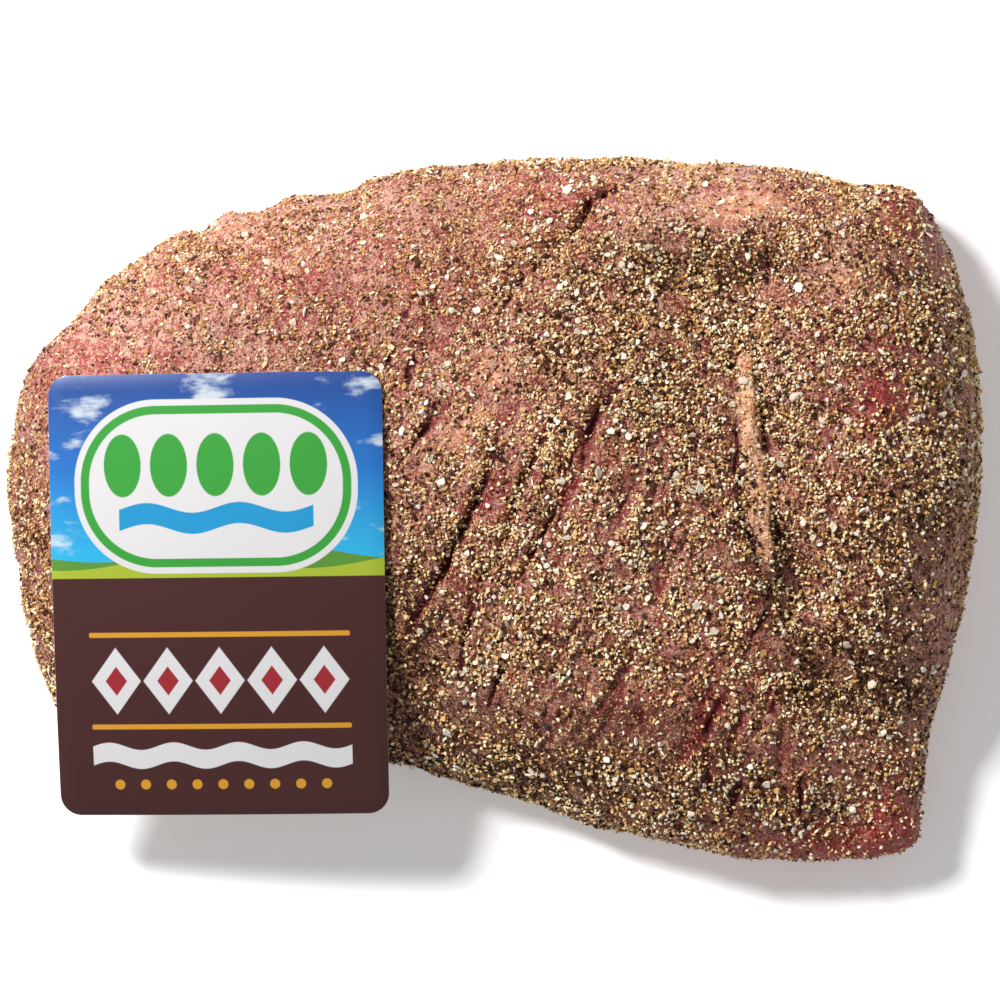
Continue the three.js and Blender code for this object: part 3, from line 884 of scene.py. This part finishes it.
def open_skin(middles, upward):
    """1 where rub can lie: clear of the floor, on skin that faces out or up, and not deep under the card."""
    weight = ease(middles[:, 2], *RUB_HEIGHTS) * ease(upward, *RUB_FACING)
    return weight * np.where(card_inset(middles[:, 0], middles[:, 1]) > RUB_UNDER_CARD, 0.0, 1.0)


def covered(at, rub, draw):
    """Which places on the skin keep their grain, so that the rub lies in clumps."""
    clumps = 1.0 + 0.5 * ripple(at, 2.8, seed=21) + 0.3 * ripple(at, 8.0, seed=22)
    return draw.random(len(at)) < rub * np.clip(clumps, 0.08, 1.6)


def spaced(points, widths):
    """Keeps the points that have room beside those kept before them."""
    cell = widths.max() * GRAIN_ROOM
    cells = np.floor(points / cell).astype(int).tolist()
    taken = {}
    kept = []
    near = [(a, b, c) for a in (-1, 0, 1) for b in (-1, 0, 1) for c in (-1, 0, 1)]
    rows = zip(points.tolist(), widths.tolist(), cells)
    for number, ((px, py, pz), width, (cx, cy, cz)) in enumerate(rows):
        for a, b, c in near:
            others = taken.get((cx + a, cy + b, cz + c), ())
            if any(
                (px - qx) ** 2 + (py - qy) ** 2 + (pz - qz) ** 2 < ((width + other) / 2 * GRAIN_ROOM) ** 2
                for qx, qy, qz, other in others
            ):
                break
        else:
            taken.setdefault((cx, cy, cz), []).append((px, py, pz, width))
            kept.append(number)
    return np.array(kept)


def random_turns(count, draw):
    """Rotation matrices (count, 3, 3), evenly random."""
    q = draw.normal(size=(count, 4))
    w, x, y, z = (q / np.linalg.norm(q, axis=1, keepdims=True)).T
    rows = [
        [1 - 2 * (y * y + z * z), 2 * (x * y - w * z), 2 * (x * z + w * y)],
        [2 * (x * y + w * z), 1 - 2 * (x * x + z * z), 2 * (y * z - w * x)],
        [2 * (x * z - w * y), 2 * (y * z + w * x), 1 - 2 * (x * x + y * y)],
    ]
    return np.array(rows).transpose(2, 0, 1)


def lying_turns(facing, tilt, draw):
    """Rotation matrices that lay a shape's Z along the skin's normal, but for a random tilt and spin."""
    up = facing + draw.normal(size=facing.shape) * tilt
    up /= np.linalg.norm(up, axis=1, keepdims=True)
    side = np.cross(up, draw.normal(size=facing.shape))
    side /= np.linalg.norm(side, axis=1, keepdims=True)
    return np.stack([side, np.cross(up, side), up], axis=2)


def joined(name, chunks, at, turns, scales, values, draw):
    """One mesh of many chunks, each turned, scaled and placed, with its named values from 0 to 1."""
    most = MOST_FACES // max(len(triangles) for _, triangles in chunks)
    at, turns, scales = at[:most], turns[:most], scales[:most]
    pick = draw.integers(len(chunks), size=len(at))
    corner_rows, face_rows = [], []
    value_rows = {key: [] for key in values}
    start = 0
    for number, (corners, triangles) in enumerate(chunks):
        mine = pick == number
        grown = corners[None] * scales[mine][:, None, :]
        placed = np.einsum("kij,knj->kni", turns[mine], grown) + at[mine][:, None, :]
        starts = start + len(corners) * np.arange(mine.sum())
        corner_rows.append(placed.reshape(-1, 3))
        face_rows.append((triangles[None] + starts[:, None, None]).reshape(-1, 3))
        for key, rows in value_rows.items():
            rows.append(np.repeat(values[key][:most][mine], len(corners)))
        start += len(corners) * mine.sum()
    points = np.concatenate(corner_rows)
    points[:, 2] = np.maximum(points[:, 2], LOWEST)
    faces = np.concatenate(face_rows)
    mesh = bpy.data.meshes.new(name)
    mesh.vertices.add(len(points))
    mesh.vertices.foreach_set("co", (points * MM).ravel())
    mesh.loops.add(faces.size)
    mesh.loops.foreach_set("vertex_index", faces.ravel().astype(np.int32))
    mesh.polygons.add(len(faces))
    mesh.polygons.foreach_set("loop_start", np.arange(0, faces.size, 3, dtype=np.int32))
    mesh.update(calc_edges=True)
    mesh.shade_flat()
    for key, rows in value_rows.items():
        write_attribute(mesh, key, np.concatenate(rows))
    piece = bpy.data.objects.new(name, mesh)
    bpy.context.scene.collection.objects.link(piece)
    return piece


def pepper_finish(name, stops, roughness):
    """Cracked pepper, each grain in its own tone and a little uneven within."""
    finish = Finish(name, Specular_IOR_Level=0.1)
    tint = finish.attribute("tint")
    uneven = finish.noise(finish.place(), 0.35 * MM)
    tone = finish.ramp((tint + (uneven - 0.5) * 0.5).at_least(0.0).at_most(1.0), stops)
    tone = finish.blend(finish.attribute("soaked") * 0.15, tone, SOAKED_TONE)
    normal = finish.bump(uneven, 0.12 * MM, 0.6)
    finish.set(Base_Color=tone, Roughness=roughness + uneven * 0.25, Normal=normal)
    return finish


def salt_finish():
    """Cloudy salt, which lets some light through."""
    finish = Finish("coarse_salt", Subsurface_Weight=0.4, Subsurface_Scale=0.8 * MM, Specular_IOR_Level=0.4)
    finish.shader.inputs["Subsurface Radius"].default_value = (1.0, 0.9, 0.8)
    cloud = finish.noise(finish.place(), 0.6 * MM, detail=3.0)
    tone = finish.ramp(finish.attribute("tint") * 0.6 + cloud * 0.4, SALT_TONES)
    finish.set(Base_Color=tone, Roughness=0.25 + cloud * 0.3, Normal=finish.bump(cloud, 0.15 * MM, 0.5))
    return finish


def grain_chunks():
    """The chunks that each kind of grain is picked from."""
    blocks = shapes("cube", 6, jitter=0.6, seed=1, size=1.0)
    wedges = shapes("cone", 6, jitter=0.42, seed=31, vertices=5, radius1=0.62, radius2=0.42, depth=0.9)
    husks = shapes("cube", 8, jitter=0.38, seed=61, size=1.0)
    flakes = shapes("cylinder", 10, jitter=0.6, seed=91, vertices=6, radius=1.0, depth=0.9)
    crystals = shapes("ico_sphere", 6, jitter=0.7, seed=111, subdivisions=1, radius=1.0)
    return {CREAM: blocks + wedges, GOLD: wedges + blocks, HUSK: husks, SALT: flakes + crystals}


def salt_places(at, draw):
    """Which places hold salt, which lies here closer and there farther apart."""
    gathered = np.clip(1.0 + 1.1 * ripple(at, 7.0, seed=23), 0.2, 3.0)
    return draw.random(len(at)) < SALT_SHARE * gathered


def grain_widths(is_salt, draw):
    """The widths of the grains, of which salt has the largest."""
    salt = draw.gamma(*SALT_WIDTHS, len(is_salt))
    pepper = draw.gamma(*PEPPER_WIDTHS, len(is_salt))
    return np.clip(np.where(is_salt, salt, pepper), *WIDTH_LIMITS)


def grain_kinds(at, over, is_salt, draw):
    """The kind of each grain: husks gather in the folds, and pale hearts lie on fat and on drier skin."""
    roll = draw.random(len(at))
    # More husks, which are dark, where the dark and husk fields lie; in the folds and beside the card they
    # add to the painted shade.
    husky = HUSK_SHARE + 0.14 * over["dark"] + 0.34 * over["husks"] + 0.08 * ripple(at, 6.0, seed=5)
    creamy = CREAM_SHARE - 0.2 * over["sunk"] + 0.3 * over["fat"]
    pepper = np.where(roll < husky, HUSK, np.where(roll < husky + (1 - husky) * creamy, CREAM, GOLD))
    return np.where(is_salt, SALT, pepper)


def make_grains(name, kind, chunks, at, facing, widths, over, draw):
    """One piece of all the grains of a kind, on the skin or sunk into it, and none inside the card."""
    count = len(at)
    scales = widths[:, None] * draw.uniform(*UNEVEN, (count, 3))
    is_slender = draw.random(count) < SLENDER_SHARE
    slender = np.where(is_slender, draw.uniform(SLENDER_LEAST, SLENDER_MOST[kind], count), 1.0)
    scales *= np.c_[slender, 1.0 / slender, slender**-0.5 * THICKNESS[kind]]
    turns = random_turns(count, draw) if kind in TURNED_ANY_WAY else lying_turns(facing, TILT, draw)
    rise = RISE[kind] * widths + draw.uniform(0.0, HEAPED, count) * over["rub"]
    rise *= 1.0 - SINKS * over["sunk"]
    centres = at + facing * rise[:, None]
    tops = centres[:, 2] + scales.max(axis=1) / 2
    clear = tops < card_underside(centres[:, 0], centres[:, 1]) - CARD_ROOM
    sunk = over["sunk"][clear]
    # Grains are darker where they have sunk into the moist surface; where the husk field lies the darkening
    # is painted shade, as beside the card's right edge.
    sunk_and_shade_dimming = 0.25 * sunk + 0.35 * over["husks"][clear]
    values = {"tint": draw.random(len(sunk)) * (1.0 - sunk_and_shade_dimming), "soaked": sunk}
    return joined(name, chunks, centres[clear], turns[clear], scales[clear], values, draw)


def make_grit(meat, draw):
    """The pepper dust between the grains."""
    chunks = shapes("cone", 6, jitter=0.4, seed=121, vertices=4, radius1=0.7, depth=1.0)
    at, facing = sample_skin(meat, GRIT_TRIES, open_skin, draw)
    over = fields(at[:, 0], at[:, 1])
    kept = covered(at, over["rub"], draw)
    at, facing = at[kept], facing[kept]
    count = len(at)
    widths = draw.uniform(*GRIT_WIDTHS, count)
    scales = widths[:, None] * draw.uniform(0.7, 1.3, (count, 3))
    centres = at + facing * (0.18 * widths + draw.uniform(0.0, 0.12, count))[:, None]
    values = {"tint": draw.random(count), "soaked": over["sunk"][kept]}
    return joined("pepper_grit", chunks, centres, random_turns(count, draw), scales, values, draw)


def make_rub(meat):
    """The rub on the meat: three pieces of cracked pepper, one of salt and one of pepper dust."""
    draw = np.random.default_rng(SEED)
    at, facing = sample_skin(meat, RUB_TRIES, open_skin, draw)
    over = fields(at[:, 0], at[:, 1])
    is_salt = salt_places(at, draw)
    widths = grain_widths(is_salt, draw)
    order = np.argsort(-np.where(is_salt, widths, 0.0), kind="stable")
    kept = order[spaced(at[order], widths[order])]
    kept = kept[covered(at[kept], over["rub"][kept], draw)]
    kinds = grain_kinds(at, over, is_salt, draw)
    chunks = grain_chunks()
    made = {}
    names = {CREAM: "pepper_cream", GOLD: "pepper_gold", HUSK: "pepper_husks", SALT: "salt"}
    for kind, name in names.items():
        mine = kept[kinds[kept] == kind]
        here = {field: values[mine] for field, values in over.items()}
        made[kind] = make_grains(name, kind, chunks[kind], at[mine], facing[mine], widths[mine], here, draw)
    grit = make_grit(meat, draw)
    hand_over(made[CREAM], pepper_finish("cracked_pepper_hearts", CREAM_TONES, roughness=0.5), "meat")
    hand_over(made[GOLD], pepper_finish("cracked_pepper_flesh", GOLD_TONES, roughness=0.5), "meat")
    hand_over(made[HUSK], pepper_finish("pepper_husk", HUSK_TONES, roughness=0.35), "meat")
    hand_over(grit, pepper_finish("pepper_dust", DUST_TONES, roughness=0.5), "meat")
    hand_over(made[SALT], salt_finish(), "meat")


# ---- The card label ----

CARD_WIDTH = 79.0
CARD_HEIGHT = 105.0
CARD_THICK = 0.5
CARD_CORNER = 5.0
CORNER_SEGMENTS = 10
CORNER_CUT = 0.3  # of the corner's radius, how far in from both sides its round lies
CARD_EDGE = 0.12  # the rounding of its edges
CARD_AT = (-65.2, -20.2)
CARD_TURN = math.radians(0.75)
CARD_SLOPE = (0.09, 0.17)  # its rise across and up its print
CARD_BEND = (400.0, 300.0)  # and the radii that it bends to
CARD_STEP = 4.0  # between the cuts that let the flat card bend
FACE_UP = (0.75, 0.95)  # of the card's thickness, between which its printed face begins
CARD_MARGIN = 0.5  # outside the card's outline, where its underside still counts
NO_CARD = 1e6  # the underside's height where there is no card
PRINT_EDGE = 0.12  # half the width over which a print's edge fades


def card_place(x, y):
    """A point of the footprint in the card's own directions, across and up its print."""
    dx, dy = x - CARD_AT[0], y - CARD_AT[1]
    c, s = math.cos(CARD_TURN), math.sin(CARD_TURN)
    return dx * c + dy * s, dy * c - dx * s


def card_form(across, up):
    """Height of the card's underside, but for its lift."""
    bow = across**2 / (2 * CARD_BEND[0]) + up**2 / (2 * CARD_BEND[1])
    return CARD_SLOPE[0] * across + CARD_SLOPE[1] * up - bow


def card_inset(x, y):
    """How far inside the card's outline a point of the footprint lies, and below 0 outside it."""
    across, up = card_place(x, y)
    return np.minimum(CARD_WIDTH / 2 - np.abs(across), CARD_HEIGHT / 2 - np.abs(up))


def card_lift():
    """The lift that puts the card's lowest corner where the frame has it."""
    rim_across = np.array([-1.0, 1.0]) * (CARD_WIDTH / 2 - CARD_CORNER * CORNER_CUT)
    rim_up = -(CARD_HEIGHT / 2 - CARD_CORNER * CORNER_CUT)
    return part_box("label")[0][2] / MM - card_form(rim_across, rim_up).min()


def card_underside(x, y):
    """Height of the card's underside over a point of the footprint, and far up where there is no card."""
    across, up = card_place(x, y)
    return np.where(card_inset(x, y) > -CARD_MARGIN, card_lift() + card_form(across, up), NO_CARD)


def make_card():
    """The card: a plate with round corners, cut into a grid, thickened, mapped for its print and bent."""
    deselect_all()
    bpy.ops.mesh.primitive_plane_add(size=1.0)
    card = bpy.context.object
    card.name = card.data.name = "card_label"
    bpy.ops.object.mode_set(mode="EDIT")
    bpy.ops.transform.resize(value=(CARD_WIDTH * MM, CARD_HEIGHT * MM, 1.0))
    bpy.ops.mesh.bevel(offset=CARD_CORNER * MM, segments=CORNER_SEGMENTS, affect="VERTICES")
    for axis, length in ((0, CARD_WIDTH), (1, CARD_HEIGHT)):
        cuts = round(length / CARD_STEP)
        for number in range(1, cuts):
            at = [0.0, 0.0, 0.0]
            at[axis] = (number / cuts - 0.5) * length * MM
            normal = [0.0, 0.0, 0.0]
            normal[axis] = 1.0
            bpy.ops.mesh.select_all(action="SELECT")
            bpy.ops.mesh.bisect(plane_co=at, plane_no=normal)
    bpy.ops.object.mode_set(mode="OBJECT")
    apply_modifier(card, "SOLIDIFY", thickness=CARD_THICK * MM, offset=1.0)
    rims = {"limit_method": "ANGLE", "angle_limit": math.radians(50)}
    apply_modifier(card, "BEVEL", width=CARD_EDGE * MM, segments=2, **rims)
    mesh = card.data
    points = read_points(mesh) / MM
    loops = np.empty(len(mesh.loops), dtype=np.int32)
    mesh.loops.foreach_get("vertex_index", loops)
    across, up, over = points.T
    uv = np.c_[across / CARD_WIDTH + 0.5, up / CARD_HEIGHT + 0.5][loops]
    layer = mesh.uv_layers[0]
    layer.name = "print"
    layer.data.foreach_set("uv", uv.ravel())
    write_attribute(mesh, "face_up", ease(over, CARD_THICK * FACE_UP[0], CARD_THICK * FACE_UP[1]))
    c, s = math.cos(CARD_TURN), math.sin(CARD_TURN)
    bent = np.c_[
        CARD_AT[0] + across * c - up * s,
        CARD_AT[1] + across * s + up * c,
        card_lift() + card_form(across, up) + over,
    ]
    write_points(mesh, bent * MM)
    make_active(card)
    bpy.ops.object.shade_smooth_by_angle(angle=math.radians(40))
    return card


def card_finish():
    """Coated card: hills under a cloudy sky, a panel of ovals, and rows of lozenges and dots on brown."""
    finish = Finish(
        "coated_card", Roughness=0.4, Specular_IOR_Level=0.4, Coat_Weight=0.25, Coat_Roughness=0.1
    )
    uv = finish.node("ShaderNodeUVMap", {"uv_map": "print"})
    across = (finish.node("ShaderNodeSeparateXYZ", None, [uv], output="X") - 0.5) * CARD_WIDTH
    up = (finish.node("ShaderNodeSeparateXYZ", None, [uv], output="Y") - 0.5) * CARD_HEIGHT

    # Middles, sizes and radii are pairs of lengths across and up the print.

    def edge(distance):
        """1 where a distance is below 0 and 0 where it is above."""
        return 1.0 - distance.ease(-PRINT_EDGE, PRINT_EDGE)

    def bar(middle, size, corner=0.4):
        """A bar with round corners."""
        over_x = ((across - middle[0]).size() - (size[0] / 2 - corner)).at_least(0.0)
        over_y = ((up - middle[1]).size() - (size[1] / 2 - corner)).at_least(0.0)
        return edge((over_x * over_x + over_y * over_y) ** 0.5 - corner)

    def row(spacing):
        """Places across, started again at every step of a row."""
        return across.math("WRAP", spacing / 2, -spacing / 2)

    def ovals(middle, radii, spacing):
        """A row of ovals across the whole card."""
        over_x, over_y = (row(spacing) - middle[0]) / radii[0], (up - middle[1]) / radii[1]
        return edge(((over_x * over_x + over_y * over_y) ** 0.5 - 1.0) * min(radii))

    def lozenges(middle, radii, spacing):
        """A row of lozenges across the whole card."""
        cosine = 0.7  # about that of their sides' slope
        over_x, over_y = (row(spacing) - middle[0]).size() / radii[0], (up - middle[1]).size() / radii[1]
        return edge((over_x + over_y - 1.0) * min(radii) * cosine)

    def wavy(middle, height, wave, length):
        """A band across the card that rises and falls."""
        centre = (across * (2 * math.pi / length)).math("SINE") * wave + middle
        return edge((up - centre).size() - height / 2)

    white, gold = colour(212, 210, 211), colour(206, 146, 40)
    green, brown = colour(52, 150, 54), colour(66, 31, 30)
    blue, deep_blue = colour(26, 142, 194), colour(26, 56, 128)
    red = colour(150, 36, 44)
    low, high = 10.0, 54.0  # the sky's foot and top
    sky = finish.ramp(((up - low) / (high - low)).at_least(0.0).at_most(1.0), [
        (0.0, colour(40, 168, 214)), (0.45, colour(30, 108, 186)), (1.0, deep_blue)
    ])
    cloud = finish.noise(finish.stretched(uv, 0.0, (1.0, 3.0, 1.0)), 0.2, detail=5.0, roughness=0.55)
    tone = finish.blend(cloud.ease(0.54, 0.68) * 0.85, sky, colour(206, 216, 220))
    far_hill = edge(up - 10.5 - (across * 0.085 + 0.8).math("SINE") * 2.2)
    near_hill = edge(up - 8.0 - (across * 0.11 + 2.4).math("SINE") * 1.6)
    prints = [
        (far_hill, colour(84, 138, 50)),
        (near_hill, colour(158, 176, 48)),
        (edge(up - 4.5), brown),
        (bar((0, 26), (67, 41), 19.5), white),
        (bar((0, 26), (64, 38), 18), green),
        (bar((0, 26), (60, 34), 16), white),
        (ovals((0, 31), (4.4, 7.4), 11) * bar((0, 31), (54, 18)), green),
        (wavy(18.5, 5, 1.2, 22) * bar((0, 18.5), (46, 12), 1), blue),
        (bar((0, -9), (62, 1.2)), gold),
        (lozenges((0, -20), (5.9, 8), 12.4) * bar((0, -20), (62, 18), 1), white),
        (lozenges((0, -20), (2.6, 3.5), 12.4) * bar((0, -20), (62, 18), 1), red),
        (bar((0, -31), (62, 1.2)), gold),
        (wavy(-38, 4.6, 0.9, 15.5) * bar((0, -38), (62, 12), 1), white),
        (ovals((0, -45), (1.2, 1.2), 6.2) * bar((0, -45), (58, 4), 1), gold),
    ]
    for mask, ink in prints:
        tone = finish.blend(mask, tone, ink)
    tone = finish.blend(finish.attribute("face_up"), colour(214, 208, 202), tone)
    wave = finish.noise(finish.place(), 14 * MM, detail=1.0)
    finish.set(Base_Color=tone, Normal=finish.bump(wave, 0.35 * MM, 0.25))
    return finish


# ---- The floor ----


def make_floor():
    """A pale floor that glows faintly: painted light, though it is no lamp."""
    deselect_all()
    bpy.ops.mesh.primitive_plane_add(size=FLOOR_SIZE)
    floor = bpy.context.object
    floor.name = "floor"
    finish = Finish("pale_floor", Roughness=0.9, Specular_IOR_Level=0.2, Emission_Strength=FLOOR_PAINTED_GLOW)
    finish.shader.inputs["Base Color"].default_value = colour(250, 250, 250)
    finish.shader.inputs["Emission Color"].default_value = colour(255, 252, 253)
    floor.data.materials.append(finish.material)


make_view()
make_floor()
meat = make_meat()
make_rub(meat)
hand_over(meat, meat_finish(), "meat", "roast")
hand_over(make_card(), card_finish(), "card", "label")
